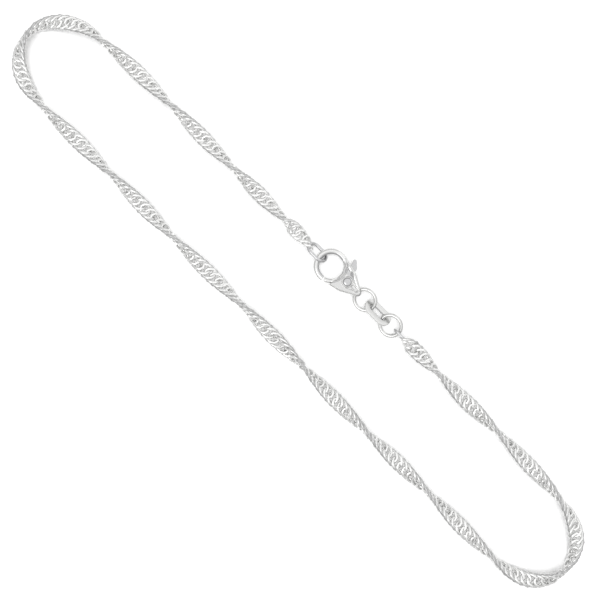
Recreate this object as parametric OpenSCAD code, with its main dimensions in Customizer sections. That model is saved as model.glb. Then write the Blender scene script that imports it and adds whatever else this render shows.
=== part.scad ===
// A twisted curb neck chain with a lobster clasp, fastened and lying flat.
// X runs along the loop, Z points up, and the origin is under the middle of the loop, on the surface.

/* [Chain] */
// Width of the woven band across its wide places
chain_w = 3.85; // [3:0.05:4.5]
// Thickness of the woven band
chain_t = 1.65; // [1.2:0.05:2]
// Length over which the band narrows at each end
chain_taper = 3; // [1:0.5:6]

/* [Clasp] */
// Inside diameter of the clasp's eye, where the end link hangs
eye_d = 5.6; // [5.3:0.1:6.2]
// Thickness of the hook's round wire
hook_wire = 1.4; // [1:0.05:1.5]
// Thickness of the clasp's casting, top to bottom
clasp_t = 3.2; // [3:0.1:4]
// Depth of the sunk field inside the casting's raised border
field_depth = 0.2; // [0.1:0.05:0.3]
// Distance from the middle of the eye to the lever's pivot
pivot_x = 5.3; // [5.1:0.1:5.7]
// Width of the casting beside the pivot
cheek_w = 6.3; // [6:0.1:7]
// Distance from the middle of the eye to the hole in the tail
tail_x = 8.6; // [8.4:0.1:10]
// Width of the tail
tail_w = 2; // [1.8:0.1:2.4]

/* [Lever] */
// Thickness of the lever's plate
lever_t = 1.15; // [0.9:0.05:1.3]
// Width of the lever's gate
gate_w = 1.1; // [0.9:0.05:1.3]
// Height of the thumb nub above the pivot
nub_rise = 5.15; // [4.8:0.05:5.6]
// How far the lever turns open, in degrees
lever_open = 25; // [15:1:27]
// Diameter of the rivet's shank
rivet_d = 1; // [0.8:0.05:1.2]
// Diameter of the rivet's heads
rivet_head_d = 1.65; // [1.4:0.05:2]

/* [Rings] */
// Outside diameter of the two jump rings
ring_d = 6.1; // [5.6:0.1:7]
// Thickness of the rings' wire
ring_wire = 0.9; // [0.7:0.05:1]
// Tilt of the rings where they lie, in degrees
ring_tilt = 25; // [22:1:28]

/* [Tag link] */
// Thickness of the tag
tag_t = 0.5; // [0.4:0.05:0.6]
// Width of each side of the tag, beside its slot
tag_side_w = 1.4; // [1.1:0.05:1.6]
// Length of the tag's slot
slot_len = 4.6; // [4.2:0.1:6]
// Tilt of the tag against the rings' tilt, in degrees
tag_tilt = 32; // [28:1:36]

/* [End links] */
// Outside length of the oval link in the clasp's eye
end_link_len = 6; // [5.6:0.1:7]
// Thickness of that link's wire
end_link_wire = 0.85; // [0.7:0.05:1]
// Tilt of that link about its length, in degrees
end_link_tilt = 48; // [44:1:52]
// Outside length of the small upright link at the other end
first_link_len = 3.9; // [3.7:0.1:5]
// Thickness of the upright link's wire
first_link_wire = 0.7; // [0.6:0.05:0.8]

/* [Clearances] */
// Least gap between two pieces that hang in each other
hang_gap = 0.04; // [0.03:0.01:0.06]
// Gap between the hook's wire and each side of the oval link in it
hook_gap = 0.1; // [0.08:0.01:0.14]
// Gap between the ring's wire and the hole in the tail
hole_gap = 0.08; // [0.06:0.01:0.1]
// Gap where a link lies loose along the loop
loose_gap = 0.3; // [0.2:0.05:0.4]
// Gap between the lever's plate and each cheek
cheek_gap = 0.08; // [0.05:0.01:0.1]
// Gap between the rivet and what it passes through
rivet_gap = 0.03; // [0.02:0.01:0.06]
// Gap between the band's ends and their links
end_gap = 0.2; // [0.15:0.05:0.3]

/* [Hidden] */
$fn = 48;

// Middle of the clasp's eye, and the line that the clasp, rings and tag lie on
clasp_x = -0.15;
closure_y = 9.2;

// Rings of wire are placed by the middle line of the wire
hook_r = (eye_d + hook_wire) / 2;
ring_r = (ring_d - ring_wire) / 2;
hook_wire_x = clasp_x - hook_r;
ring_rise = ring_r * sin(ring_tilt) + ring_wire / 2;

// Oval link in the hook: the hook's curved wire passes between its two sides, inside its round end
end_link_half = ((end_link_wire + hook_wire) / 2 + hook_gap) / sin(end_link_tilt);
end_link_reach = (end_link_wire + hook_wire) / 2 + loose_gap
    - pow(end_link_half * cos(end_link_tilt), 2) / (2 * hook_r);
end_link_span = (pow(end_link_half, 2) + pow(end_link_reach, 2)) / end_link_reach;
end_link_rise = end_link_span / 2 * sin(end_link_tilt) + end_link_wire / 2;
end_link_right = hook_wire_x + (hook_wire + end_link_wire) / 2 + loose_gap;
end_link_x = end_link_right - (end_link_len - end_link_wire) / 2;
chain_end_x = end_link_x - end_link_len / 2 - end_gap;

// Height of the middle of the clasp and rings, so that the lowest of them touches the surface
closure_z = max(clasp_t / 2, end_link_rise, ring_rise);

// Tag: each ring's wire passes through one end of its slot
slot_w = (ring_wire + tag_t + 2 * hang_gap) / sin(ring_tilt + tag_tilt) - tag_t;
tag_straight = slot_len - slot_w;
clasp_ring_x = clasp_x + tail_x + ring_r;
tag_x = clasp_ring_x + ring_r + tag_straight / 2;
chain_ring_x = tag_x + tag_straight / 2 + ring_r;

// Upright link round the chain's ring
first_link_span = (first_link_wire + ring_wire + 2 * hang_gap) / cos(ring_tilt);
first_link_left = chain_ring_x + ring_r - (ring_wire + first_link_wire) / 2 - loose_gap;
first_link_x = first_link_left + (first_link_len - first_link_wire) / 2;
chain_start_x = first_link_x + first_link_len / 2 + end_gap;

// Points of the chain's route, from the upright link round the right end, along the far strand,
// round the left end and back to the clasp
route_points = [
    [33, 9.2], [44, 9.1], [55, 9.3], [65.5, 9], [71, 8.8], [76.4, 8.4], [81.7, 7.2], [86.2, 4.4],
    [88.8, -0.2], [88.7, -5.5], [85.5, -9.6], [80.6, -11.8], [75.3, -12.4], [65, -12.5],
    [54, -12.3], [43, -12.4], [32, -12.5], [21, -12.4], [10.5, -12.2], [0, -12.2], [-11, -12.1],
    [-22, -12.3], [-33, -12.3], [-44, -12.2], [-54.5, -12.1], [-65, -12.2], [-71, -12.3],
    [-76, -12.1], [-81.3, -11.3], [-86, -8.8], [-88.9, -4.5], [-88.5, 0.8], [-85.4, 5],
    [-80.7, 7.7], [-75.5, 8.6], [-70, 9], [-59, 9.3], [-48, 9.3], [-37.5, 9.2], [-27, 9.2],
    [-16, 9.2]];
route = concat([[chain_start_x, closure_y]], route_points, [[chain_end_x, closure_y]]);

// Twist of the band: share of its length, then half turns counted from the middle of the far strand,
// where the hand of the twist changes. At each half number the band stands on edge. The twist is
// left-handed on the left half of the loop and right-handed on the right half, apart from its first bud.
twist = [
    [0, 6.75], [0.031, 7.5], [0.088, 6.5], [0.15, 5.5], [0.201, 4.5], [0.257, 3.5], [0.32, 2.5],
    [0.378, 1.5], [0.441, 0.5], [0.471, 0], [0.501, 0.5], [0.567, 1.5], [0.627, 2.5],
    [0.692, 3.5], [0.75, 4.5], [0.805, 5.5], [0.869, 6.5], [0.929, 7.5], [0.979, 8.5], [1, 8.85]];

// The band is swept through rings of points, this far apart, with this many points on each edge
ring_step = 2.6;
edge_points = 6;
// Steps in each half-round end of an oval ring
bend_n = 16;
// Size of the band at its very ends, as a share of its full size
end_share = 0.3;
// Places worked out on each span of the route
samples_per_span = 6;

function chord(i) = norm(route[i + 1] - route[i]);
function chord_slope(i) = (route[i + 1] - route[i]) / chord(i);
last_point = len(route) - 1;
function route_slope(i) =
    i == 0 ? chord_slope(0)
    : i == last_point ? chord_slope(i - 1)
    : (chord_slope(i - 1) * chord(i) + chord_slope(i) * chord(i - 1)) / (chord(i) + chord(i - 1));
// Smooth curve through the points: each span is a cubic that meets the next with the same slope
function route_at(i, t) =
    route[i] * (1 + 2 * t) * pow(1 - t, 2) + route[i + 1] * t * t * (3 - 2 * t)
    + route_slope(i) * chord(i) * t * pow(1 - t, 2) - route_slope(i + 1) * chord(i) * t * t * (1 - t);
fine = [for (i = [0 : last_point - 1]) for (k = [0 : samples_per_span - 1])
        route_at(i, k / samples_per_span), route[last_point]];
function run_up(i = 0, s = 0, out = []) =
    i == len(fine) ? out
    : run_up(i + 1, s + (i < len(fine) - 1 ? norm(fine[i + 1] - fine[i]) : 0), concat(out, [s]));
run = run_up();
chain_len = run[len(run) - 1];
run_x = [for (i = [0 : len(fine) - 1]) [run[i], fine[i][0]]];
run_y = [for (i = [0 : len(fine) - 1]) [run[i], fine[i][1]]];
function place(s) = [lookup(s, run_x), lookup(s, run_y)];
function heading(s) =
    let (d = place(min(s + 0.5, chain_len)) - place(max(s - 0.5, 0)))
    d / norm(d);
function turn(s) = -180 * lookup(s / chain_len, twist);
function band_share(s) = lookup(min(s, chain_len - s), [[0, end_share], [chain_taper, 1]]);

// Section of a flat strip with round edges, as [across, through] pairs. A strip as thick as it is wide is
// a round wire.
function strip_section(w, t) = [for (side = [1, -1]) for (k = [0 : edge_points - 1])
    let (a = -90 + 180 * (k + 0.5) / edge_points)
    side * [(w - t) / 2 + t / 2 * cos(a), t / 2 * sin(a)]];

// Faces between neighbouring rings of n points, and from the last ring to the first if the sweep closes
function sweep_faces(ring_n, n, closed) = [for (i = [0 : ring_n - (closed ? 1 : 2)]) for (k = [0 : n - 1])
    let (a = i * n + k, b = i * n + (k + 1) % n, next_a = ((i + 1) % ring_n) * n + k,
         next_b = ((i + 1) % ring_n) * n + (k + 1) % n)
    each [[a, next_a, b], [b, next_a, next_b]]];

function band_ring(s) =
    let (p = place(s), h = heading(s), a = turn(s), k = band_share(s),
         across = [-h[1] * cos(a), h[0] * cos(a), sin(a)],
         through = [h[1] * sin(a), -h[0] * sin(a), cos(a)])
    [for (q = strip_section(chain_w, chain_t)) [p[0], p[1], chain_w / 2] + k * (q[0] * across + q[1] * through)];

module chain() {
    ring_n = round(chain_len / ring_step) + 1;
    n = 2 * edge_points;
    points = [for (i = [0 : ring_n - 1]) each band_ring(chain_len * i / (ring_n - 1))];
    first_cap = [[for (k = [0 : n - 1]) k]];
    last_cap = [[for (k = [n - 1 : -1 : 0]) (ring_n - 1) * n + k]];
    color("silver") polyhedron(points = points, faces = concat(sweep_faces(ring_n, n, false), first_cap, last_cap));
}

// Oval ring in the XY plane. span is the distance between the middle lines of its two sides.
module oval_ring(straight, span, section) {
    n = len(section);
    turns = [for (a = [-90 : 180 / bend_n : 90]) [a, 1], for (a = [90 : 180 / bend_n : 270]) [a, -1]];
    points = [for (t = turns) for (q = section)
        [t[1] * straight / 2 + (span / 2 + q[0]) * cos(t[0]), (span / 2 + q[0]) * sin(t[0]), -q[1]]];
    polyhedron(points = points, faces = sweep_faces(len(turns), n, true));
}

module round_ring(middle_r, wire) {
    rotate_extrude() translate([middle_r, 0]) circle(d = wire);
}

module end_link() {
    color("silver") translate([end_link_x, closure_y, closure_z])
        rotate([-end_link_tilt, 0, 0])
            oval_ring(end_link_len - end_link_span - end_link_wire, end_link_span,
                      strip_section(end_link_wire, end_link_wire));
}

module first_link() {
    color("silver") translate([first_link_x, closure_y, closure_z])
        rotate([90, 0, 0])
            oval_ring(first_link_len - first_link_span - first_link_wire, first_link_span,
                      strip_section(first_link_wire, first_link_wire));
}

module clasp_ring() {
    color("silver") translate([clasp_ring_x, closure_y, closure_z])
        rotate([ring_tilt, 0, 0]) round_ring(ring_r, ring_wire);
}

module chain_ring() {
    color("silver") translate([chain_ring_x, closure_y, closure_z])
        rotate([ring_tilt, 0, 0]) round_ring(ring_r, ring_wire);
}

module tag_link() {
    color("silver") translate([tag_x, closure_y, closure_z]) rotate([-tag_tilt, 0, 0])
        oval_ring(tag_straight, slot_w + tag_side_w, strip_section(tag_side_w, tag_t));
}

// The clasp is drawn about the middle of its eye. Its outline is the belt round three discs.
border_w = 1.2;
rim_w = 0.6;
collar_w = 0.25;
shoulder_x = 4.3;
hook_tip_angle = -81.4;
hook_root_angle = 50;
gate_tip_angle = -76;
gate_root_angle = -35;
gate_tip_gap = 0.2;
front_x = eye_d / 2;
arm_end_x = 1;
boss_r = 1.1;
arm_r = 0.8;
nub_base = [-1.3, 3.4];
nub_tip_x = -2.15;
nub_tip_r = 0.42;
slot_gap = 0.2;
// Step between a round wire and the flat casting or plate that it runs into
wire_step = 0.05;
// The straight sides of a belt lie this far inside its discs, so that they meet at a clear angle
belt_inset = 0.02;
outline_r = [eye_d / 2 + hook_wire - wire_step, cheek_w / 2, tail_w / 2];
// The ring's wire curves inside the tail, so its hole is wider by half the curve's rise, and set back by it
hole_shift = pow(tail_w / 2 / cos(ring_tilt), 2) / (4 * ring_r);
outline_x = [0, shoulder_x, tail_x + hole_shift];
// Size of a cutter that reaches past every face of the clasp
big = 20;

// Two discs and the straight belt between them
module belt(x1, r1, x2, r2, h) {
    lean = asin((r1 - r2) / (x2 - x1));
    translate([x1, 0, 0]) cylinder(r = r1, h = h);
    translate([x2, 0, 0]) cylinder(r = r2, h = h);
    side1 = r1 - belt_inset;
    side2 = r2 - belt_inset;
    linear_extrude(h) polygon([
        [x1 + side1 * sin(lean), side1 * cos(lean)], [x1 + side1 * sin(lean), -side1 * cos(lean)],
        [x2 + side2 * sin(lean), -side2 * cos(lean)], [x2 + side2 * sin(lean), side2 * cos(lean)]]);
}

module clasp_outline(inset, h) {
    for (i = [0, 1])
        belt(outline_x[i], outline_r[i] - inset, outline_x[i + 1], max(outline_r[i + 1] - inset, 0.1), h);
}

// Bar with round ends from one point to another
module bar(from, to, r1, r2, h) {
    run_to = to - from;
    translate([from[0], from[1], 0]) rotate([0, 0, atan2(run_to[1], run_to[0])])
        belt(0, r1, norm(run_to), r2, h);
}

// The lever is drawn about its pivot. Positions here are measured from the pivot.
gate_end = [hook_r * cos(gate_root_angle) - pivot_x, hook_r * sin(gate_root_angle)];
nub_tip = [nub_tip_x, nub_rise - nub_tip_r];
// The gate's tip is turned to this radius about the pivot, so that it swings clear of the hook
gate_reach = norm([eye_d / 2 * cos(hook_tip_angle) - pivot_x, eye_d / 2 * sin(hook_tip_angle)]) - gate_tip_gap;

module lever_shape() {
    intersection() {
        translate([-pivot_x, 0, 0]) rotate([0, 0, gate_tip_angle])
            rotate_extrude(angle = gate_root_angle - gate_tip_angle)
                translate([hook_r, 0]) circle(d = gate_w);
        translate([0, 0, -lever_t]) cylinder(r = gate_reach, h = 2 * lever_t);
    }
    translate([0, 0, -lever_t / 2]) {
        cylinder(r = boss_r, h = lever_t);
        bar([0, 0], gate_end, arm_r, gate_w / 2 + wire_step, lever_t);
        bar([0, 0], nub_base, arm_r, arm_r - wire_step, lever_t);
        bar(nub_base, nub_tip, arm_r, nub_tip_r, lever_t);
    }
}

module clasp_lever() {
    color("gainsboro") translate([clasp_x + pivot_x, closure_y, closure_z]) difference() {
        lever_shape();
        translate([0, 0, -big / 2]) cylinder(d = rivet_d + 2 * rivet_gap, h = big);
    }
}

// Room for the lever between the cheeks, from shut to open, as a wedge between two directions
module sweep_wedge(shut, open, left, right, reach) {
    a = [cos(shut), sin(shut)];
    b = [cos(open), sin(open)];
    side_a = [-a[1], a[0]] * left;
    side_b = [b[1], -b[0]] * right;
    polygon([side_a, a * reach + side_a, b * reach + side_b, side_b]);
}

module lever_room() {
    room_t = max(lever_t, gate_w) + 2 * cheek_gap;
    gate_dir = atan2(gate_end[1], gate_end[0]);
    nub_dir = atan2(nub_base[1], nub_base[0]);
    reach = norm(gate_end) + 2 * hook_wire;
    translate([pivot_x, 0, -room_t / 2]) linear_extrude(room_t) {
        circle(r = boss_r + slot_gap);
        sweep_wedge(gate_dir, gate_dir - lever_open, gate_w / 2 + 2 * slot_gap,
                    gate_w / 2 + 2 * slot_gap, reach);
        sweep_wedge(nub_dir, nub_dir - lever_open, arm_r + slot_gap, arm_r + slot_gap, 2 * cheek_w);
    }
}

module clasp_body() {
    half_t = clasp_t / 2;
    hole_r = ring_wire / 2 + hole_gap + hole_shift;
    color("silver") translate([clasp_x, closure_y, closure_z]) {
        rotate([0, 0, hook_root_angle])
            rotate_extrude(angle = 360 + hook_tip_angle - hook_root_angle)
                translate([hook_r, 0]) circle(d = hook_wire);
        difference() {
            translate([0, 0, -half_t]) clasp_outline(0, clasp_t);
            // Sunk fields on both faces, with the eye's rim and the rivet's collar left standing
            for (face = [0, 1]) mirror([0, 0, face]) translate([0, 0, half_t - field_depth])
                difference() {
                    clasp_outline(border_w, clasp_t);
                    cylinder(d = eye_d + 2 * rim_w, h = clasp_t);
                    translate([pivot_x, 0, 0]) cylinder(d = rivet_head_d + 2 * (collar_w + rivet_gap), h = clasp_t);
                }
            // Seats of the rivet's heads
            for (face = [0, 1]) mirror([0, 0, face]) translate([pivot_x, 0, half_t - field_depth])
                cylinder(d = rivet_head_d + 2 * rivet_gap, h = clasp_t);
            translate([0, 0, -big / 2]) {
                cylinder(d = eye_d + 2 * wire_step, h = big);
                translate([pivot_x, 0, 0]) cylinder(d = rivet_d + 2 * rivet_gap, h = big);
                translate([front_x - big, -big, 0]) cube([big, big, big]);
                translate([arm_end_x - big, -border_w, 0]) cube([big, big, big]);
            }
            lever_room();
            translate([tail_x + hole_shift, 0, 0])
                rotate([ring_tilt - 90, 0, 0]) cylinder(r = hole_r, h = big, center = true);
        }
    }
}

module clasp_rivet() {
    half_t = clasp_t / 2;
    head_z = half_t - field_depth + rivet_gap;
    head_r = rivet_head_d / 2;
    color("gainsboro") translate([clasp_x + pivot_x, closure_y, closure_z]) rotate_extrude() polygon([
        [0, -half_t], [head_r - (half_t - head_z), -half_t], [head_r, -head_z], [rivet_d / 2, -head_z],
        [rivet_d / 2, head_z], [head_r, head_z], [head_r - (half_t - head_z), half_t], [0, half_t]]);
}

chain();
end_link();
clasp_body();
clasp_lever();
clasp_rivet();
clasp_ring();
tag_link();
chain_ring();
first_link();
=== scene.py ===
# %% [markdown]
# A neck chain of twisted curb links, fastened with a lobster clasp and lying on a pale table.
# The construction model is loaded first and stays fixed. Everything made here is laid over it, in metres,
# in the same frame: X along the loop, Y towards the strand with the clasp, Z up from the table.

# %% Load the frame
import math

import bmesh
import bpy
import numpy as np
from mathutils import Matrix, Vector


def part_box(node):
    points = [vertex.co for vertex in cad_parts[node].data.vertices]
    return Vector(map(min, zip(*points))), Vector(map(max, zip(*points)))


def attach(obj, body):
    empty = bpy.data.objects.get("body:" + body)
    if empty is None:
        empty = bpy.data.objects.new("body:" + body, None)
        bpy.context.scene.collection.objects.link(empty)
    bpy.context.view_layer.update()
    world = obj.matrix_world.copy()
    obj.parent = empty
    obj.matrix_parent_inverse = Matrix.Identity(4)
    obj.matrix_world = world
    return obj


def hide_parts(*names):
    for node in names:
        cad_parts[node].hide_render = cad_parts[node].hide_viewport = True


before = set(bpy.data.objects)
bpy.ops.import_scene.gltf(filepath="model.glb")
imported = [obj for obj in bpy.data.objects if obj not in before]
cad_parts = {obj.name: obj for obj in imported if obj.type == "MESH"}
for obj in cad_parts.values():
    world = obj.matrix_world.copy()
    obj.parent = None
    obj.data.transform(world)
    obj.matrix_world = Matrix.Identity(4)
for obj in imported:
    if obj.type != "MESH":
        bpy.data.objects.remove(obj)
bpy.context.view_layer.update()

MM = 0.001

# %% [markdown]
# The picture is taken from straight above, with the loop lying across it from corner to corner.
# A long lens a good way off keeps near and far parts the same size. The picture is square, 600 by 600
# pixels, so one width of the view settles the camera's height.

# %% Camera
view_width = 141 * MM
view_middle = (0.29 * MM, -1.61 * MM)
view_turn = math.radians(45)
lens_mm = 100
sensor_mm = 36
band_middle_z = 1.9 * MM

camera_data = bpy.data.cameras.new("camera")
camera_data.lens = lens_mm
camera_data.sensor_width = sensor_mm
camera_data.clip_start = 0.01
camera = bpy.data.objects.new("camera", camera_data)
camera.location = (*view_middle, band_middle_z + view_width * lens_mm / sensor_mm)
camera.rotation_euler = (0, 0, view_turn)
bpy.context.scene.collection.objects.link(camera)
bpy.context.scene.camera = camera
print("camera height in mm:", round(camera.location.z / MM))

# %% [markdown]
# Colours are written the way a screen shows them. Blender reckons with light, so one function turns
# each of them to linear values. Materials are built from nodes, and one more function adds a node,
# sets its sockets and its options, and links what feeds it.

# %% Colour and node helpers
def linear(colour):
    """The linear red, green, blue and alpha of a hex colour such as #E8E8E6."""
    s = np.array([int(colour[i:i + 2], 16) for i in (1, 3, 5)]) / 255
    return (*np.where(s <= 0.04045, s / 12.92, ((s + 0.055) / 1.055) ** 2.4), 1.0)


def put(tree, kind, sockets=None, links=None, **options):
    """Adds a node to a tree, with values on its input sockets, links into them, and its own options."""
    added = tree.nodes.new(kind)
    for name, value in options.items():
        setattr(added, name, value)
    for name, value in (sockets or {}).items():
        added.inputs[name].default_value = value
    for name, source in (links or {}).items():
        tree.links.new(source, added.inputs[name])
    return added


def new_material(name):
    """A material with an empty node tree, and its output node."""
    material = bpy.data.materials.new(name)
    material.use_nodes = True
    material.node_tree.nodes.clear()
    return material, put(material.node_tree, "ShaderNodeOutputMaterial")


# %% [markdown]
# Polished metal shows what is around it, so jewellery this bright is photographed in a pale room. The table
# is a satin reflector board, which is a metal sheet with a soft gloss. Seen from above it mirrors the bright
# ceiling and looks white, and seen from low down it is the pale grey of the walls. The other choice was a plain
# white table, which shows more of the chain's shadow. Here a faint grey shade is left inside the two bends. The
# board glows a little as well.

# %% Table
table_half = 1.5
table_glow = 0.1
table_mesh = bpy.data.meshes.new("table")
table_mesh.from_pydata([(-table_half, -table_half, 0), (table_half, -table_half, 0),
                        (table_half, table_half, 0), (-table_half, table_half, 0)], [], [(0, 1, 2, 3)])
table = bpy.data.objects.new("table", table_mesh)
bpy.context.scene.collection.objects.link(table)
board, board_out = new_material("satin_reflector_board")
board_surface = put(board.node_tree, "ShaderNodeBsdfPrincipled", {
    "Base Color": linear("#FAFAFA"), "Metallic": 1.0, "Roughness": 0.35,
    "Emission Color": linear("#FFFFFF"), "Emission Strength": table_glow})
board.node_tree.links.new(board_surface.outputs[0], board_out.inputs["Surface"])
table_mesh.materials.append(board)
print("table is", 2 * table_half, "m wide")

# %% [markdown]
# Two soft boxes light the chain: the main one from the -Y side, well above the table, and a weak one low on the
# +Y side. The room does the rest. It is brightest overhead and turns gently greyer towards the walls, which draws
# the fine grey lines along both sides of each wire. It is a little brighter on the +Y side than on the -Y side.

# %% Lights and room
def soft_box(name, direction, distance, size, glow):
    """A square area light of that side, at a distance along a direction, aimed at the middle of the view.
    Its power is glow times pi times its area, so that glow is how bright it looks."""
    data = bpy.data.lights.new(name, "AREA")
    data.shape = "SQUARE"
    data.size = size
    data.energy = glow * math.pi * size ** 2
    light = bpy.data.objects.new(name, data)
    direction = np.array(direction, float) / np.linalg.norm(direction)
    light.location = direction * distance + np.array([*view_middle, 0])
    away = light.location.normalized()
    light.rotation_euler = away.to_track_quat("Z", "Y").to_euler()
    bpy.context.scene.collection.objects.link(light)
    print(name, "power in watts:", round(data.energy, 3))


soft_box("near_box", direction=(-0.1, -1.0, 1.6), distance=0.55, size=0.3, glow=1.3)
soft_box("far_box", direction=(0, 0.9, 0.44), distance=0.6, size=0.35, glow=0.4)

room = bpy.data.worlds.new("room")
room.use_nodes = True
room_tree = room.node_tree
room_tree.nodes.clear()
room_place = put(room_tree, "ShaderNodeTexCoord")
room_axes = put(room_tree, "ShaderNodeSeparateXYZ", None, {"Vector": room_place.outputs["Generated"]})
room_side = put(room_tree, "ShaderNodeMapRange",
                {"From Min": -0.7, "From Max": 0.6, "To Min": 1.0, "To Max": 1.15},
                {"Value": room_axes.outputs["Y"]})
room_wall = put(room_tree, "ShaderNodeMapRange",
                {"From Min": 0.3, "From Max": 0.92, "To Min": 0.58, "To Max": 1.0},
                {"Value": room_axes.outputs["Z"]}, interpolation_type="SMOOTHSTEP")
room_shade = put(room_tree, "ShaderNodeMath", None, None, operation="MULTIPLY")
room_tree.links.new(room_side.outputs[0], room_shade.inputs[0])
room_tree.links.new(room_wall.outputs[0], room_shade.inputs[1])
room_light = put(room_tree, "ShaderNodeBackground", {"Strength": 1.0}, {"Color": room_shade.outputs[0]})
put(room_tree, "ShaderNodeOutputWorld", None, {"Surface": room_light.outputs[0]})
bpy.context.scene.world = room
bpy.context.scene.view_settings.view_transform = "Standard"

# %% [markdown]
# The chain's route is a short list of points, the same as in the construction model, in millimetres. Each
# span between two points is a cubic curve that meets the next with the same slope. The band turns over
# again and again along its length, and a second short list says where it stands on edge.

# %% Route and twist
route_mm = [
    [33, 9.2], [44, 9.1], [55, 9.3], [65.5, 9], [71, 8.8], [76.4, 8.4], [81.7, 7.2], [86.2, 4.4],
    [88.8, -0.2], [88.7, -5.5], [85.5, -9.6], [80.6, -11.8], [75.3, -12.4], [65, -12.5],
    [54, -12.3], [43, -12.4], [32, -12.5], [21, -12.4], [10.5, -12.2], [0, -12.2], [-11, -12.1],
    [-22, -12.3], [-33, -12.3], [-44, -12.2], [-54.5, -12.1], [-65, -12.2], [-71, -12.3],
    [-76, -12.1], [-81.3, -11.3], [-86, -8.8], [-88.9, -4.5], [-88.5, 0.8], [-85.4, 5],
    [-80.7, 7.7], [-75.5, 8.6], [-70, 9], [-59, 9.3], [-48, 9.3], [-37.5, 9.2], [-27, 9.2],
    [-16, 9.2]]
# Share of the band's length, then half turns counted from the middle of the far strand. At each half number
# the band stands on edge.
twist = np.array([
    [0, 6.75], [0.031, 7.5], [0.088, 6.5], [0.15, 5.5], [0.201, 4.5], [0.257, 3.5], [0.32, 2.5],
    [0.378, 1.5], [0.441, 0.5], [0.471, 0], [0.501, 0.5], [0.567, 1.5], [0.627, 2.5],
    [0.692, 3.5], [0.75, 4.5], [0.805, 5.5], [0.869, 6.5], [0.929, 7.5], [0.979, 8.5], [1, 8.85]])
chain_w = 3.85 * MM
end_gap = 0.2 * MM
samples_per_span = 24

first_link_low, first_link_high = (np.array(c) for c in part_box("first_link"))
end_link_low, _ = (np.array(c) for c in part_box("end_link"))
closure = (first_link_low + first_link_high) / 2
chain_start_x = first_link_high[0] + end_gap
chain_end_x = end_link_low[0] - end_gap


def smooth_route(points, per_span):
    """Cubic spans through the points. The slope at a point weighs its two chords by each other's length."""
    gaps = np.diff(points, axis=0)
    length = np.linalg.norm(gaps, axis=1)
    slope = gaps / length[:, None]
    inner = ((slope[:-1] * length[1:, None] + slope[1:] * length[:-1, None])
             / (length[:-1] + length[1:])[:, None])
    slopes = np.vstack([slope[:1], inner, slope[-1:]])
    t = np.linspace(0, 1, per_span, endpoint=False)[None, :, None]
    a, b = points[:-1, None], points[1:, None]
    reach = length[:, None, None]
    curve = (a * (1 + 2 * t) * (1 - t) ** 2 + b * t ** 2 * (3 - 2 * t)
             + slopes[:-1, None] * reach * t * (1 - t) ** 2 - slopes[1:, None] * reach * t ** 2 * (1 - t))
    return np.vstack([curve.reshape(-1, 2), points[-1:]])


route = smooth_route(np.array([[chain_start_x / MM, closure[1] / MM], *route_mm,
                               [chain_end_x / MM, closure[1] / MM]]) * MM, samples_per_span)
route_run = np.concatenate([[0], np.cumsum(np.linalg.norm(np.diff(route, axis=0), axis=1))])
chain_length = route_run[-1]
print("length of the woven band in mm:", round(chain_length / MM, 1))

# %% [markdown]
# A link is easiest to shape by itself, as if the chain ran straight, and then to lay into the band. So the band
# needs a little set of directions of its own at every place: across its width and through its thickness. Both
# turn about the route as the band twists.

# %% Directions of the band
slope_step = 0.5 * MM


def along(s):
    """Place on the route at a distance along it. Past either end the route runs straight on."""
    inside = np.clip(s, 0, chain_length)
    x = np.interp(inside, route_run, route[:, 0]) + np.minimum(s, 0) + np.maximum(s - chain_length, 0)
    y = np.interp(inside, route_run, route[:, 1])
    return np.stack([x, y], axis=-1)


def band_frame(s):
    """Middle of the band at a distance along it, and its directions across and through. With the route's
    direction (p, q) and the turn a, across is (-q cos a, p cos a, sin a) and through is
    (q sin a, -p sin a, cos a)."""
    ahead = along(s + slope_step) - along(s - slope_step)
    ahead /= np.linalg.norm(ahead, axis=-1, keepdims=True)
    turn = -np.pi * np.interp(s / chain_length, twist[:, 0], twist[:, 1])
    middle = np.concatenate([along(s), np.full((*s.shape, 1), chain_w / 2)], axis=-1)
    across = np.stack([-ahead[..., 1] * np.cos(turn), ahead[..., 0] * np.cos(turn), np.sin(turn)], axis=-1)
    through = np.stack([ahead[..., 1] * np.sin(turn), -ahead[..., 0] * np.sin(turn), np.cos(turn)], axis=-1)
    return middle, across, through


print("half turns along the band, of either hand:", round(float(np.abs(np.diff(twist[:, 1])).sum()), 2))

# %% [markdown]
# A mesh here is a grid of points worked out as one array. Its faces join each row to the next, and the last
# row to the first where the surface closes. One function turns such a grid, or a whole stack of equal
# grids, into a mesh object. Another keeps on its points how far the metal's colour is darkened there:
# painted shade on most pieces, and a greyer tone on the lever's thumb nub.

# %% Grid meshes
shade_and_tone_attribute = "painted_shade_and_tone"


def grid_faces(rows, columns, wrap_rows, wrap_columns, copies=1):
    """Four-cornered faces of a grid of points, for a number of equal grids that follow each other."""
    i = np.arange(rows if wrap_rows else rows - 1)[:, None]
    j = np.arange(columns if wrap_columns else columns - 1)[None, :]
    a = i * columns + j
    b = (i + 1) % rows * columns + j
    c = (i + 1) % rows * columns + (j + 1) % columns
    d = i * columns + (j + 1) % columns
    one = np.stack([a, b, c, d], axis=-1).reshape(-1, 4)
    return (np.arange(copies)[:, None, None] * rows * columns + one).reshape(-1, 4)


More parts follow.
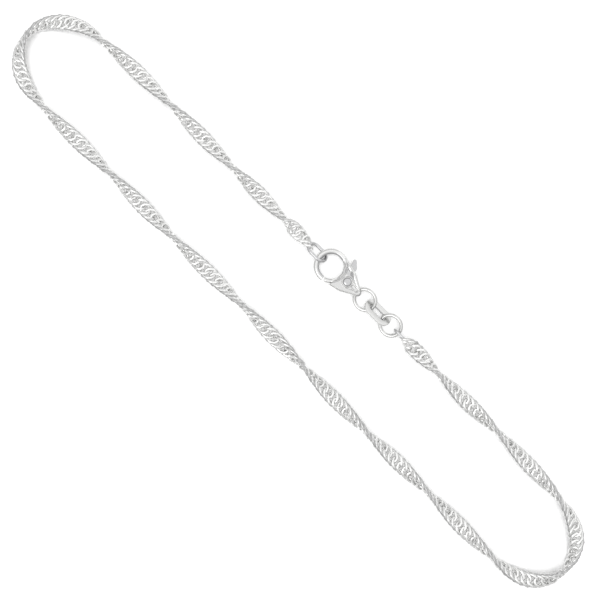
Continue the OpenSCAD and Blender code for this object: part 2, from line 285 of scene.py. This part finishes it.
def new_piece(name, points, faces, material):
    """A smooth-shaded mesh object at the origin, from an array of points and an array of faces."""
    mesh = bpy.data.meshes.new(name)
    mesh.vertices.add(len(points))
    mesh.vertices.foreach_set("co", np.asarray(points, np.float32).ravel())
    mesh.loops.add(faces.size)
    mesh.loops.foreach_set("vertex_index", faces.ravel().astype(np.int32))
    mesh.polygons.add(len(faces))
    mesh.polygons.foreach_set("loop_start", np.arange(len(faces), dtype=np.int32) * faces.shape[1])
    mesh.update(calc_edges=True)
    mesh.polygons.foreach_set("use_smooth", np.ones(len(faces), bool))
    mesh.materials.append(material)
    piece = bpy.data.objects.new(name, mesh)
    bpy.context.scene.collection.objects.link(piece)
    print(name, "points:", len(points), "faces:", len(faces))
    return piece


def keep_painted_shade_and_tone(piece, shade_and_tone):
    """Keeps one value for each point of a piece: 0 where its colour is left bright and 1 where it is painted
    darkest.
    """
    values = piece.data.attributes.new(shade_and_tone_attribute, "FLOAT", "POINT")
    values.data.foreach_set("value", np.asarray(shade_and_tone).ravel().astype(np.float32))


def wire_round(path, face, wire_w, wire_t, sides, power):
    """Carries a section round closed paths: path + (w / 2) cos a sideways + (t / 2) sin a faceways. The
    section is |u|^p + |v|^p = 1, so a power of 2 is an oval and more is flatter. path and face hold
    (..., points, 3) values, and face is the way that the wire's broad side looks."""
    ahead = np.roll(path, -1, axis=-2) - np.roll(path, 1, axis=-2)
    ahead /= np.linalg.norm(ahead, axis=-1, keepdims=True)
    sideways = np.cross(face, ahead)
    sideways /= np.linalg.norm(sideways, axis=-1, keepdims=True)
    faceways = np.cross(ahead, sideways)
    angle = 2 * np.pi * np.arange(sides) / sides
    reach = (np.abs(np.cos(angle)) ** power + np.abs(np.sin(angle)) ** power) ** (-1 / power)
    return (path[..., None, :] + wire_w / 2 * (reach * np.cos(angle))[:, None] * sideways[..., None, :]
            + wire_t / 2 * (reach * np.sin(angle))[:, None] * faceways[..., None, :])


# %% [markdown]
# All of it is sterling silver, which mirrors about nine tenths of the light without any tint. What differs is how
# each piece was made and polished. Slot walls, hollows, the hook's inside and the sides and edges of the links
# are painted darker and greyer in their colour, as painted shade, so a metal can read the painted shade kept on
# its piece.

# %% Metal
# Real polishing marks are hundredths of a millimetre wide, too fine to show. Both patterns are drawn this coarse.
scratch_mm = 0.35
skin_mm = 0.12
skin_depth = 0.01 * MM
gloss_spread = (0.7, 1.4)


def silver(name, bright, roughness, shade_and_tone=None):
    """Polished silver. Fine polishing marks vary its gloss from 0.7 to 1.4 times its roughness. Where a darker
    colour is given, the colour goes from bright to that darker colour by the value kept on the piece. This paints
    shade into the colour, and on the lever's thumb nub it gives a greyer tone."""
    material, out = new_material(name)
    tree = material.node_tree
    place = put(tree, "ShaderNodeTexCoord")
    marks = put(tree, "ShaderNodeTexNoise", {"Scale": 1 / (scratch_mm * MM), "Detail": 3.0},
                {"Vector": place.outputs["Object"]})
    gloss = put(tree, "ShaderNodeMapRange",
                {"From Min": 0.3, "From Max": 0.7,
                 "To Min": roughness * gloss_spread[0], "To Max": roughness * gloss_spread[1]},
                {"Value": marks.outputs["Fac"]})
    skin = put(tree, "ShaderNodeTexNoise", {"Scale": 1 / (skin_mm * MM), "Detail": 2.0},
               {"Vector": place.outputs["Object"]})
    bump = put(tree, "ShaderNodeBump", {"Strength": 0.12, "Distance": skin_depth},
               {"Height": skin.outputs["Fac"]})
    surface = put(tree, "ShaderNodeBsdfPrincipled", {"Metallic": 1.0, "Base Color": linear(bright)},
                  {"Roughness": gloss.outputs[0], "Normal": bump.outputs[0]})
    if shade_and_tone:
        # The value kept on the piece darkens the colour: painted shade, and a greyer tone on the lever's thumb
        # nub
        kept = put(tree, "ShaderNodeAttribute", attribute_name=shade_and_tone_attribute)
        tone = put(tree, "ShaderNodeMix", {"A": linear(bright), "B": linear(shade_and_tone)},
                   {"Factor": kept.outputs["Fac"]}, data_type="RGBA")
        tree.links.new(tone.outputs["Result"], surface.inputs["Base Color"])
    tree.links.new(surface.outputs[0], out.inputs["Surface"])
    print(name, "roughness:", roughness)
    return material


# Wire that was linked, then cut flat and polished: bright faces that flash, between sides and band edges painted
# greyer as painted shade
link_silver = silver("silver_wire_cut_polished_painted_shade", "#FAFAF9", 0.16, "#8C8C8D")
# Drawn wire that only went through the tumbling barrel: an even, softer grey
link_silver_plain = silver("silver_wire_drawn_and_tumbled", "#CCCCCD", 0.16)
# Drawn wire polished on a wheel: the sharpest gloss here, with thin crisp lines along it
ring_silver = silver("silver_wire_polished", "#DCDCDB", 0.12)
# Cast, then tumbled: high parts bright, and hollows, lines, the tail's end and the hook's inside painted greyer
# as painted shade
cast_silver = silver("silver_cast_tumbled_painted_shade", "#EAEAE9", 0.16, "#B8B8B9")
# Stamped from sheet: broad quiet faces, and slot walls painted dark as painted shade
sheet_silver = silver("silver_sheet_stamped_painted_shade", "#DCDCDB", 0.2, "#8C8C8D")
# Pressed and satin polished: a softer gloss, greyer still on the thumb nub
pressed_silver = silver("silver_pressed_satin_polished", "#E2E2E1", 0.2, "#C8C8C9")

# %% [markdown]
# A twisted curb link is an oval of wire that was squashed and turned, so that one corner of it lies on top and
# the next one underneath. Each link passes through its neighbours, which makes the band look woven. The
# links could be placed one by one, or by Geometry Nodes. Here all of them are one array: the same oval,
# shifted along the band, and each of its points laid into the band's own twisting directions.

# %% Sizes of the links
link_pitch = 1.645 * MM
link_wire = 0.8 * MM
link_wire_t = 0.68 * MM
# Every second link has its front tip raised by this much and its back tip lowered. The ones between have it the
# other way round, by a quarter as much.
tip_rise = 0.4 * MM
# The links keep this far inside the band's outline, because the band bends
link_inset = 0.03 * MM
link_half_w = (chain_w - link_wire) / 2 - link_inset
link_reach = 2.05 * MM
link_rise = 0.34 * MM
link_straight = 0.12
link_flat = 0.55
link_points = 12
link_sides = 6
link_section_power = 3.0

# %% [markdown]
# The band ends in the upright link on one side and in the clasp's link on the other. Its first and last links are
# smaller and hang in those two. The links near both ends hang looser and rounder than the rest, because
# nothing beyond the end pulls them flat, and each of them leans its own way.

# %% Ends of the band
loose_length = 9 * MM
loose_rise = 0.3 * MM
loose_lean = math.radians(16)
lean_seed = 7
# Distance from the chain's left end in mm, then the half turns that a link there has turned more than the band
own_turn = np.array([[0, 0.5], [4, 0.35], [8, 0]])
end_size = 0.8
end_shrink_length = 1.5 * MM
chain_tip_gap = 0.1 * MM
first_wire = 0.7 * MM
end_wire = 0.85 * MM
first_tip = first_link_high[0] - first_wire - link_wire / 2 - chain_tip_gap
last_tip = end_link_low[0] + end_wire + link_wire / 2 + chain_tip_gap
first_s = first_tip + link_reach * end_size - chain_start_x
last_s = chain_length + chain_end_x - last_tip + link_reach * end_size
link_n = round((last_s - first_s) / link_pitch) + 1
link_s = np.linspace(first_s, last_s, link_n)
print("links:", link_n, "pitch in mm:", round((link_s[1] - link_s[0]) / MM, 3))

# %% [markdown]
# The links differ only by a few numbers each: the hand of their twist, their size, the rise of their tips, how
# loose they are, how they lean, and how far they have rolled round the band's length by themselves.

# %% Middle lines of the links
# Rows of the twist table where the twist's hand changes: after the first bud, and by the far strand's middle
first_bud_row = 1
middle_row = 8


def woven_links(s, hand, size, tip, loose, lean, roll):
    """Middle lines of links at places s: (reach cos t, half width sin t, hand rise sin 2t + tip cos t |cos t|),
    laid into the band's directions along, across and through. Cosine and sine are raised to a power a little
    over 1, which straightens the sides, and sin 2t to one below 1, which keeps a side on top for longer.
    Loose links rise more and lean by a small turn. Roll turns the directions across and through."""
    t = 2 * np.pi * np.arange(link_points) / link_points
    u = size[:, None] * link_reach * np.cos(t) * np.abs(np.cos(t)) ** link_straight
    v = size[:, None] * link_half_w * np.sin(t) * np.abs(np.sin(t)) ** link_straight
    side = np.sign(np.sin(2 * t)) * np.abs(np.sin(2 * t)) ** link_flat
    w = size[:, None] * ((link_rise + loose[:, None] * loose_rise) * hand[:, None] * side
                         + tip[:, None] * np.cos(t) * np.abs(np.cos(t)))
    u, w = (u - lean[:, None, 0] * w, w + lean[:, None, 0] * u)
    v, w = (v - lean[:, None, 1] * w, w + lean[:, None, 1] * v)
    middle, across, through = band_frame(s[:, None] + u)
    c, d = np.cos(roll)[:, None, None], np.sin(roll)[:, None, None]
    across, through = across * c + through * d, through * c - across * d
    return middle + v[..., None] * across + w[..., None] * through, through


share = link_s / chain_length
left_handed = (share > twist[middle_row, 0]) | (share < twist[first_bud_row, 0])
hand = np.where(left_handed, -1.0, 1.0)
nearest_end = np.minimum(link_s, chain_length - link_s)
size = np.interp(nearest_end, [0, end_shrink_length], [end_size, 1])
tip = np.where(np.arange(link_n) % 2 == 0, tip_rise, -tip_rise / 4)
loose = np.interp(nearest_end, [0, loose_length], [1, 0])
lean = loose_lean * loose[:, None] * np.random.default_rng(lean_seed).uniform(-1, 1, (link_n, 2))
roll = -np.pi * np.interp((chain_length - link_s) / MM, own_turn[:, 0], own_turn[:, 1])
link_path, link_face = woven_links(link_s, hand, size, tip, loose, lean, roll)
print("left-handed links:", int(left_handed.sum()), "loose links:", int((loose > 0).sum()))

# %% [markdown]
# The links' wire is flattened, as the cutting leaves it. Their faces are polished bright. The sides of the wire,
# which face the next link, and the band's two edges are painted darker as painted shade, which draws each
# link's outline. Nothing sticks out of the box of the solid band.

# %% Woven band
# Painted shade: darker colour towards the band's edges and on the sides of each wire
edge_shade = 0.9
edge_power = 6
side_shade = 0.2
side_shade_at_edge = 0.4
side_power = 4

link_surface = wire_round(link_path, link_face, link_wire, link_wire_t, link_sides, link_section_power)
chain_low, chain_high = (np.array(c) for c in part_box("chain"))
link_surface = np.clip(link_surface, chain_low, chain_high)
middle, across, _ = band_frame(link_s[:, None, None] + np.zeros((1, link_points, link_sides)))
# Distance from the band's middle across its width, from 0 to 1 at its edges
off_middle = np.clip(np.abs(np.einsum("abcd,abcd->abc", link_surface - middle, across)) / (chain_w / 2), 0, 1)
# 1 on the sides of the wire and 0 on its faces
wall = np.abs(np.cos(2 * np.pi * np.arange(link_sides) / link_sides))
# Painted shade: the colour darkens towards the band's edges and on the wire's sides, where the links meet
link_painted_shade = np.maximum(edge_shade * off_middle ** edge_power,
                       wall ** side_power * (side_shade + side_shade_at_edge * off_middle))

woven_chain = new_piece("woven_chain", link_surface.reshape(-1, 3),
                        grid_faces(link_points, link_sides, True, True, link_n), link_silver)
keep_painted_shade_and_tone(woven_chain, link_painted_shade)
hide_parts("chain")
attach(woven_chain, "necklace")

# %% [markdown]
# The two jump rings are round wire, bent round a rod, closed and soldered. A ring is a circle carried round a
# circle. The points lie closer together at the solder joint, where a fine seam stays after polishing.

# %% Jump rings
ring_wire = 0.9 * MM
ring_tilt = math.radians(25)
ring_points = 120
ring_sides = 24
seam_depth = 0.03 * MM
seam_half_width = 0.06 * MM
# The node, the piece that takes its place, and where its seam lies, in degrees
ring_pieces = (("clasp_ring", "jump_ring_clasp", 118), ("chain_ring", "jump_ring_chain", 62))


def node_middle(node):
    """Middle of a construction node's box."""
    low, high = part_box(node)
    return (np.array(low) + np.array(high)) / 2


def tilted(points, angle, middle):
    """Points turned about the X axis, (x, y cos a - z sin a, y sin a + z cos a), then moved to a middle."""
    c, s = math.cos(angle), math.sin(angle)
    return points @ np.array([[1, 0, 0], [0, c, s], [0, -s, c]]) + middle


def jump_ring(middle_r, wire, seam_at):
    """Ring of wire: (R cos a, R sin a, 0) plus r (cos b) outward and r (sin b) upward, where the wire's
    radius r dips by a narrow bell curve at the seam."""
    spread = np.linspace(-1, 1, ring_points, endpoint=False)
    a = np.pi * (0.7 * spread ** 3 + 0.3 * spread)
    b = 2 * np.pi * np.arange(ring_sides) / ring_sides
    r = wire / 2 - seam_depth * np.exp(-(a * middle_r / seam_half_width) ** 2)
    a = a[:, None] + seam_at
    out = middle_r + r[:, None] * np.cos(b)
    return np.stack([out * np.cos(a), out * np.sin(a), r[:, None] * np.sin(b) + 0 * a], axis=-1)


for node_name, piece_name, seam_deg in ring_pieces:
    low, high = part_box(node_name)
    ring = jump_ring((high[0] - low[0] - ring_wire) / 2, ring_wire, math.radians(seam_deg))
    ring_piece = new_piece(piece_name, tilted(ring.reshape(-1, 3), ring_tilt, node_middle(node_name)),
                           grid_faces(ring_points, ring_sides, True, True), ring_silver)
    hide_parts(node_name)
    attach(ring_piece, "necklace")

# %% [markdown]
# The oval link in the hook, the small upright link and the tag are all the same figure: two straight sides
# joined by two half circles, with a section carried round them. The links' section is round. The tag was
# stamped from sheet, so its section is flat with rounded edges, and its slot's wall is painted darker than its
# face, as painted shade. Each one's span and tilt are read from its node's box.

# %% Figure of the ovals
oval_points = 96
section_points = 28


def oval_path(straight, span):
    """Two straight sides of a length, a span apart, and two half circles: equal steps along the whole way.
    Each step has the angle at which the section faces out, and a shift along the straight sides."""
    r = span / 2
    whole = 2 * straight + 2 * np.pi * r
    w = (np.arange(oval_points) + 0.5) / oval_points * whole
    bend = np.pi * r
    where = [w < bend, (w >= bend) & (w < bend + straight), (w >= bend + straight) & (w < 2 * bend + straight)]
    angle = np.select(where, [w / r - np.pi / 2, np.pi / 2 + 0 * w, (w - straight) / r - np.pi / 2],
                      1.5 * np.pi)
    shift = np.select(where, [straight / 2 + 0 * w, straight / 2 - (w - bend), -straight / 2 + 0 * w],
                      (w - 2 * bend - straight) - straight / 2)
    return angle, shift


def strip_section(width, thickness, outer_power):
    """Points of a flat strip's outline as across and through values. Its inner edge is half round. Its outer
    edge is |u|^p + |v|^p = 1: half round with a power p of 2, squarer with more. A strip that is as thick as
    it is wide is a round wire."""
    half = section_points // 2
    a = np.pi * ((np.arange(half) + 0.5) / half - 0.5)
    u = np.abs(np.cos(a)) ** (2 / outer_power)
    v = np.sign(np.sin(a)) * np.abs(np.sin(a)) ** (2 / outer_power)
    flat = (width - thickness) / 2
    outer = np.stack([flat + thickness / 2 * u, thickness / 2 * v], axis=-1)
    inner = np.stack([flat + thickness / 2 * np.cos(a), thickness / 2 * np.sin(a)], axis=-1)
    return np.vstack([outer, -inner])


def oval_ring(straight, span, section):
    """Section carried round the oval: ((span / 2 + across) cos + shift, (span / 2 + across) sin, through)."""
    angle, shift = oval_path(straight, span)
    out = span / 2 + section[None, :, 0]
    angle, shift = angle[:, None], shift[:, None]
    return np.stack([out * np.cos(angle) + shift, out * np.sin(angle), section[None, :, 1] + 0 * angle],
                    axis=-1)


# %% Oval links and tag
tag_side_w = 1.4 * MM
tag_t = 0.5 * MM
# The node, its piece, width and thickness of its side, power of its outer edge, the way it leans, metal and slot
oval_pieces = (
    ("end_link", "oval_link", end_wire, end_wire, 2, -1, link_silver_plain, "chain_silver"),
    ("first_link", "upright_link", first_wire, first_wire, 2, 1, link_silver_plain, "chain_silver"),
    ("tag_link", "slotted_tag", tag_side_w, tag_t, 5, -1, sheet_silver, "tag_silver"))
# How much each point of the section is on the wall of the slot, inside the oval. The tag's metal paints shade
# there.
inner_wall = np.clip(-np.sin(2 * np.pi * (np.arange(section_points) + 0.5) / section_points), 0, 1)

for node_name, piece_name, width, thickness, outer_power, lean_way, metal, slot_name in oval_pieces:
    low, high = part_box(node_name)
    box_x, box_y, box_z = (high[i] - low[i] for i in range(3))
    tilt = lean_way * math.atan2(box_z - thickness, box_y - thickness)
    outer = math.hypot(box_y - thickness, box_z - thickness)
    span = outer - (width - thickness)
    ring = oval_ring(box_x - span - width, span, strip_section(width, thickness, outer_power))
    oval_piece = new_piece(piece_name, tilted(ring.reshape(-1, 3), tilt, node_middle(node_name)),
                           grid_faces(oval_points, section_points, True, True), metal)
    # Painted shade on the tag's slot wall. The plain links' metal doesn't read this value.
    keep_painted_shade_and_tone(oval_piece, np.tile(inner_wall, oval_points))
    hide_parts(node_name)
    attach(oval_piece, "necklace")
    print(piece_name, "tilt in degrees:", round(math.degrees(tilt), 1), "span in mm:", round(span / MM, 2))

# %% [markdown]
# The clasp's body is cast and its lever pressed. Every edge on both is round, because tumbling wears it. The
# construction model has their true room, slot and holes with sharp edges. So a copy of each node is merged,
# filled with a fine even grid of faces by a voxel remesh and smoothed. The body is then carved by a formula.

# %% Cast copies
clasp_middle = np.array([-0.15, 9.2, node_middle("clasp_rivet")[2] / MM]) * MM
voxel = 0.06 * MM
smooth_steps = 4
merge_distance = 0.0005 * MM


def cast_copy(node, name):
    """A merged, remeshed and smoothed copy of a construction node, as a new mesh object."""
    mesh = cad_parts[node].data.copy()
    merged = bmesh.new()
    merged.from_mesh(mesh)
    bmesh.ops.remove_doubles(merged, verts=merged.verts, dist=merge_distance)
    merged.to_mesh(mesh)
    merged.free()
    rough = bpy.data.objects.new(name, mesh)
    bpy.context.scene.collection.objects.link(rough)
    remesh = rough.modifiers.new("even_faces", "REMESH")
    remesh.mode = "VOXEL"
    remesh.voxel_size = voxel
    soften = rough.modifiers.new("tumbled_edges", "SMOOTH")
    soften.factor = 0.5
    soften.iterations = smooth_steps
    done = bpy.data.meshes.new_from_object(rough.evaluated_get(bpy.context.evaluated_depsgraph_get()))
    bpy.data.objects.remove(rough)
    piece = bpy.data.objects.new(name, done)
    bpy.context.scene.collection.objects.link(piece)
    done.polygons.foreach_set("use_smooth", np.ones(len(done.polygons), bool))
    done.materials.clear()
    print(name, "points:", len(done.vertices), "faces:", len(done.polygons))
    return piece


def mesh_points(piece):
    """Points of a mesh object as an array."""
    points = np.empty(len(piece.data.vertices) * 3, np.float32)
    piece.data.vertices.foreach_get("co", points)
    return points.reshape(-1, 3).astype(float)


def set_mesh_points(piece, points):
    """Writes an array of points back into a mesh object."""
    piece.data.vertices.foreach_set("co", points.astype(np.float32).ravel())
    piece.data.update()


clasp_casting = cast_copy("clasp_body", "clasp_casting")
lever_pressing = cast_copy("clasp_lever", "clasp_lever_pressing")

# %% [markdown]
# A formula for the clasp's face needs to know how far a place lies inside the outline, and it needs a few
# simple shapes to add up: a smooth step and a round ridge. From here to the rivet the sizes are in millimetres,
# measured from the middle of the clasp's eye.

# %% Outline, step and ridge
half_t = 1.6
slot_half = 0.7
eye_r = 2.8
hook_r = 3.5
hook_wire_r = 0.7
pivot = (5.3, 0.0)
# Middles and radii of the outline's three discs
outline = ((0, 4.15), (4.3, 3.15), (8.84, 1.0))


def inside_depth(x, y):
    """How far a place lies inside the outline, which is three discs and the straight sides between them."""
    depth = np.full(x.shape, -9.0)
    for (x1, r1), (x2, r2) in zip(outline[:-1], outline[1:]):
        lean = (r1 - r2) / (x2 - x1)
        rise = math.sqrt(1 - lean ** 2)
        u, v = x - x1, np.abs(y)
        along_side = u * rise - v * lean
        on_side = r1 - (v * rise + u * lean)
        on_first = r1 - np.hypot(u, v)
        on_second = r2 - np.hypot(x - x2, v)
        reach = (x2 - x1) * rise
        nearest = np.where(along_side < 0, on_first, np.where(along_side > reach, on_second, on_side))
        depth = np.maximum(depth, nearest)
    return depth


def step_up(value, start, end):
    """Smooth step from 0 at start to 1 at end: t t (3 - 2 t)."""
    t = np.clip((value - start) / (end - start), 0, 1)
    return t * t * (3 - 2 * t)


def ridge(value, middle, half_width):
    """Round-topped ridge: the square root of 1 - u^2, where u is the distance from the middle in half
    widths."""
    return np.sqrt(np.clip(1 - ((value - middle) / half_width) ** 2, 0, 1))


# %% [markdown]
# The faces of the casting are carved in relief: a rim round the eye, a border that runs on from the hook to
# the tail, a sunk field between them, a collar round the rivet, a small dimple, and a groove along the tail.
# All of it is one height for each place on the face. Near the outline the height falls off like a quarter
# circle. The dimple, the rivet's seat, the sunk field, the line round the rim, the plate's -Y half and the tail's
# end are painted darker, as painted shade.

# %% Relief of the clasp
plate_level, hollow_depth = 1.36, 0.36
low_level = 1.0
edge_fall, edge_reach = 0.4, 0.5
border_rise, border_at, border_half_w, border_reach = 0.56, 0.6, 0.62, 1.2
rim_rise, rim_at, rim_half_w = 0.58, 0.4, 0.44
line_depth, line_at, line_half_w = 0.16, 0.98, 0.16
collar_level, collar_rise, collar_at, collar_half_w = 1.2, 0.36, 1.14, 0.2
seat_r = 0.95
tail_slot_x, tail_slot_y = (6.95, 8.1), 0.08
groove_level, groove_rise, groove_wall_at, groove_wall_half_w = 1.16, 0.36, 0.48, 0.3
dimple_x, dimple_y, dimple_length, dimple_w, dimple_depth = 4.83, 2.09, 0.62, 0.3, 0.4


def face_height(x, y):
    """Half thickness of the casting at a place, and how much painted shade darkens its colour there, from 0 to 1.
    The height is the highest of the field, border, rim and collar, with the tail's groove laid in, less the line
    round the rim and less the dimple, which is a bell curve. Towards the hook it runs down to the slot's wall."""
    depth = inside_depth(x, y)
    from_eye = np.hypot(x, y)
    from_pivot = np.hypot(x - pivot[0], y - pivot[1])
    upper = step_up(y, 0.1, 0.7)
    hollow = step_up(y, 0.75, 1.4)
    edge = 1 - ridge(np.minimum(depth, edge_reach), edge_reach, edge_reach)
    field = (plate_level - hollow_depth * hollow) - edge_fall * edge
    border = low_level + border_rise * upper * ridge(depth, border_at, border_half_w)
    rim = low_level + rim_rise * ridge(from_eye, eye_r + rim_at, rim_half_w)
    rim_line = ridge(from_eye, eye_r + line_at, line_half_w)
    collar = collar_level + collar_rise * ridge(from_pivot, collar_at, collar_half_w)
    height = np.maximum.reduce([field, np.where(depth < border_reach, border, 0), rim, collar])
    height = np.where(from_pivot < seat_r, plate_level, height)
    from_slot = np.hypot(x - np.clip(x, *tail_slot_x), y - tail_slot_y)
    groove_wall = np.clip((from_slot - groove_wall_at) / groove_wall_half_w, -1, 1)
    tail = groove_level + groove_rise * (1 - groove_wall ** 2) ** 2
    in_tail = (1 - step_up(from_slot, 0.6, 0.74)) * step_up(from_pivot, 1.2, 1.4)
    height = height + (tail - height) * in_tail
    across = ((x - dimple_x) + (y - dimple_y)) / math.sqrt(2)
    down = ((x - dimple_x) - (y - dimple_y)) / math.sqrt(2)
    dimple = np.exp(-(down / dimple_length) ** 2 - (across / dimple_w) ** 2)
    height -= line_depth * rim_line * step_up(depth, 0.3, 0.6)
    off_rim = step_up(from_eye, eye_r + 0.5, eye_r + 0.7)
    inner = step_up(depth, 0.95, 1.25) * off_rim
    plate = step_up(depth, 0.2, 0.6) * off_rim * step_up(from_pivot, 1.1, 1.3)
    # Painted shade: the sunk field, the plate's -Y half, the dimple, the rivet's seat, the line round the rim and
    # the tail's end
    shade_and_tone = np.maximum.reduce([0.65 * hollow * inner, 0.35 * (1 - upper) * plate, dimple, from_pivot < seat_r,
                              0.6 * rim_line, 0.7 * step_up(x, 8.9, 9.5)])
    from_hook = step_up(x, 1.0, 3.2)
    return slot_half + (height - dimple_depth * dimple - slot_half) * from_hook, shade_and_tone


# %% [markdown]
# The carving starts from the solid as it was built, whose faces have two flat levels. Each point between the
# slot and the face is drawn out in proportion, from the built height to the carved one. The walls are drawn in
# towards both faces, so that no sharp edge stays. Where the hook grows out of the body, the body's section
# starts as the hook's own round wire.

# %% Walls of the casting
field_depth = 0.2
wall_round = 0.35
wall_reach = 0.7
slope_reach = 0.02


def built_height(x, y):
    """Half thickness of the construction model there: two flat levels, the fields and seats below the rims."""
    from_pivot = np.hypot(x - pivot[0], y - pivot[1])
    field = (step_up(inside_depth(x, y), 1.15, 1.25) * step_up(np.hypot(x, y), eye_r + 0.55, eye_r + 0.65)
             * step_up(from_pivot, 1.06, 1.16))
    return half_t - field_depth * np.maximum(field, 1 - step_up(from_pivot, 0.8, 0.9))


def rounded_in(place, height):
    """Draws the walls in towards the faces, so that a wall is part of a circle from face to face: inwards by
    r (1 - sqrt(1 - (z / height)^2)), which fades out away from the outline and away from the eye's rim."""
    x, y, z = place.T
    share = np.clip(np.abs(z) / height, 0, 1)
    draw = wall_round * (1 - np.sqrt(1 - share ** 2))
    step = slope_reach
    slope = np.stack([inside_depth(x + step, y) - inside_depth(x - step, y),
                      inside_depth(x, y + step) - inside_depth(x, y - step)], axis=-1) / (2 * step)
    from_eye = np.maximum(np.hypot(x, y), 0.1)
    outline_share = (1 - step_up(inside_depth(x, y), 0, wall_reach))[:, None]
    eye_share = (1 - step_up(from_eye - eye_r, 0, wall_reach))[:, None]
    return draw[:, None] * (outline_share * slope + eye_share * place[:, :2] / from_eye[:, None])


# %% Carve the casting
last_smooth_steps = 2
place = (mesh_points(clasp_casting) - clasp_middle) / MM
x, y, z = place.T
height, shade_and_tone = face_height(x, y)
lift = np.clip((np.abs(z) - slot_half) / (built_height(x, y) - slot_half), 0, 1)
carved_z = np.where(lift > 0, slot_half + lift * (height - slot_half), np.abs(z))
wire_z = np.minimum(np.abs(z), np.sqrt(np.clip(hook_wire_r ** 2 - (np.hypot(x, y) - hook_r) ** 2, 0, None)))
arm = (1 - step_up(x, 1.0, 2.8)) * (y > 0)
carved_z = carved_z + (wire_z - carved_z) * arm
on_body = (x > 0.93) & (np.hypot(x, y) > eye_r - 0.02)
# The inside of the hook is painted darker, as painted shade
hook_inside_shade = 0.8 * step_up(hook_r - np.hypot(x, y), -0.1, 0.35)
casting_painted_shade = np.where(on_body, shade_and_tone, hook_inside_shade)
place[:, :2] += rounded_in(place, np.maximum(height, slot_half)) * (on_body * (1 - arm))[:, None]
place[:, 2] = np.where(on_body, np.sign(z) * carved_z, z)
set_mesh_points(clasp_casting, clasp_middle + MM * place)
worn = bmesh.new()
worn.from_mesh(clasp_casting.data)
for _ in range(last_smooth_steps):
    bmesh.ops.smooth_vert(worn, verts=worn.verts, factor=0.5,
                          use_axis_x=True, use_axis_y=True, use_axis_z=True)
worn.to_mesh(clasp_casting.data)
worn.free()
print("points carved on the casting:", int(on_body.sum()))

# %% [markdown]
# Both pieces take their metal and their place among the bodies. The casting belongs to the necklace, and the
# lever moves by itself. The lever's thumb nub is coloured a little greyer than the gate.

# %% Dress the clasp
nub_start, nub_end = 2.6, 3.0
keep_painted_shade_and_tone(clasp_casting, casting_painted_shade)
lever_y = (mesh_points(lever_pressing)[:, 1] - clasp_middle[1]) / MM
keep_painted_shade_and_tone(lever_pressing, step_up(lever_y, nub_start, nub_end))

for piece, node_name, body, metal, slot_name in (
        (clasp_casting, "clasp_body", "necklace", cast_silver, "cast_silver"),
        (lever_pressing, "clasp_lever", "lever", pressed_silver, "pressed_silver")):
    piece.data.materials.append(metal)
    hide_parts(node_name)
    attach(piece, body)
    print(piece.name, "rides on", body)

# %% [markdown]
# The rivet is turned: a pin with two domed heads. Its surface is a short profile spun round its axis, and the
# two small holes at its poles are closed with one face each.

# %% Rivet
rivet_sides = 48
rivet_low, rivet_high = (np.array(c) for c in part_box("clasp_rivet"))
head_r = (rivet_high[0] - rivet_low[0]) / 2
pin_r = 0.5 * MM
head_t = 0.17 * MM
rivet_half = (rivet_high[2] - rivet_low[2]) / 2
dome_start = 0.02
dome_points = 8


def spun(profile, sides, middle):
    """Profile of radius and height values, spun round the Z axis: (r cos a, r sin a, z)."""
    a = 2 * np.pi * np.arange(sides) / sides
    r, z = profile[:, 0, None], profile[:, 1, None]
    return np.stack([r * np.cos(a), r * np.sin(a), z + 0 * a], axis=-1) + middle


dome = np.linspace(dome_start, 1, dome_points) * np.pi / 2
top = np.stack([head_r * np.sin(dome), rivet_half - head_t * (1 - np.cos(dome))], axis=-1)
foot = np.array([[pin_r, rivet_half - head_t], [pin_r, 0]])
profile = np.vstack([top, foot])
profile = np.vstack([profile, profile[-2::-1] * [1, -1]])
rivet_points = spun(profile, rivet_sides, (rivet_low + rivet_high) / 2).reshape(-1, 3)
rivet_faces = grid_faces(len(profile), rivet_sides, False, True)
rivet = new_piece("clasp_rivet_pin", rivet_points, rivet_faces[:, ::-1], link_silver_plain)
closed = bmesh.new()
closed.from_mesh(rivet.data)
bmesh.ops.holes_fill(closed, edges=[e for e in closed.edges if e.is_boundary], sides=0)
bmesh.ops.recalc_face_normals(closed, faces=closed.faces)
closed.to_mesh(rivet.data)
closed.free()
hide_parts("clasp_rivet")
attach(rivet, "necklace")
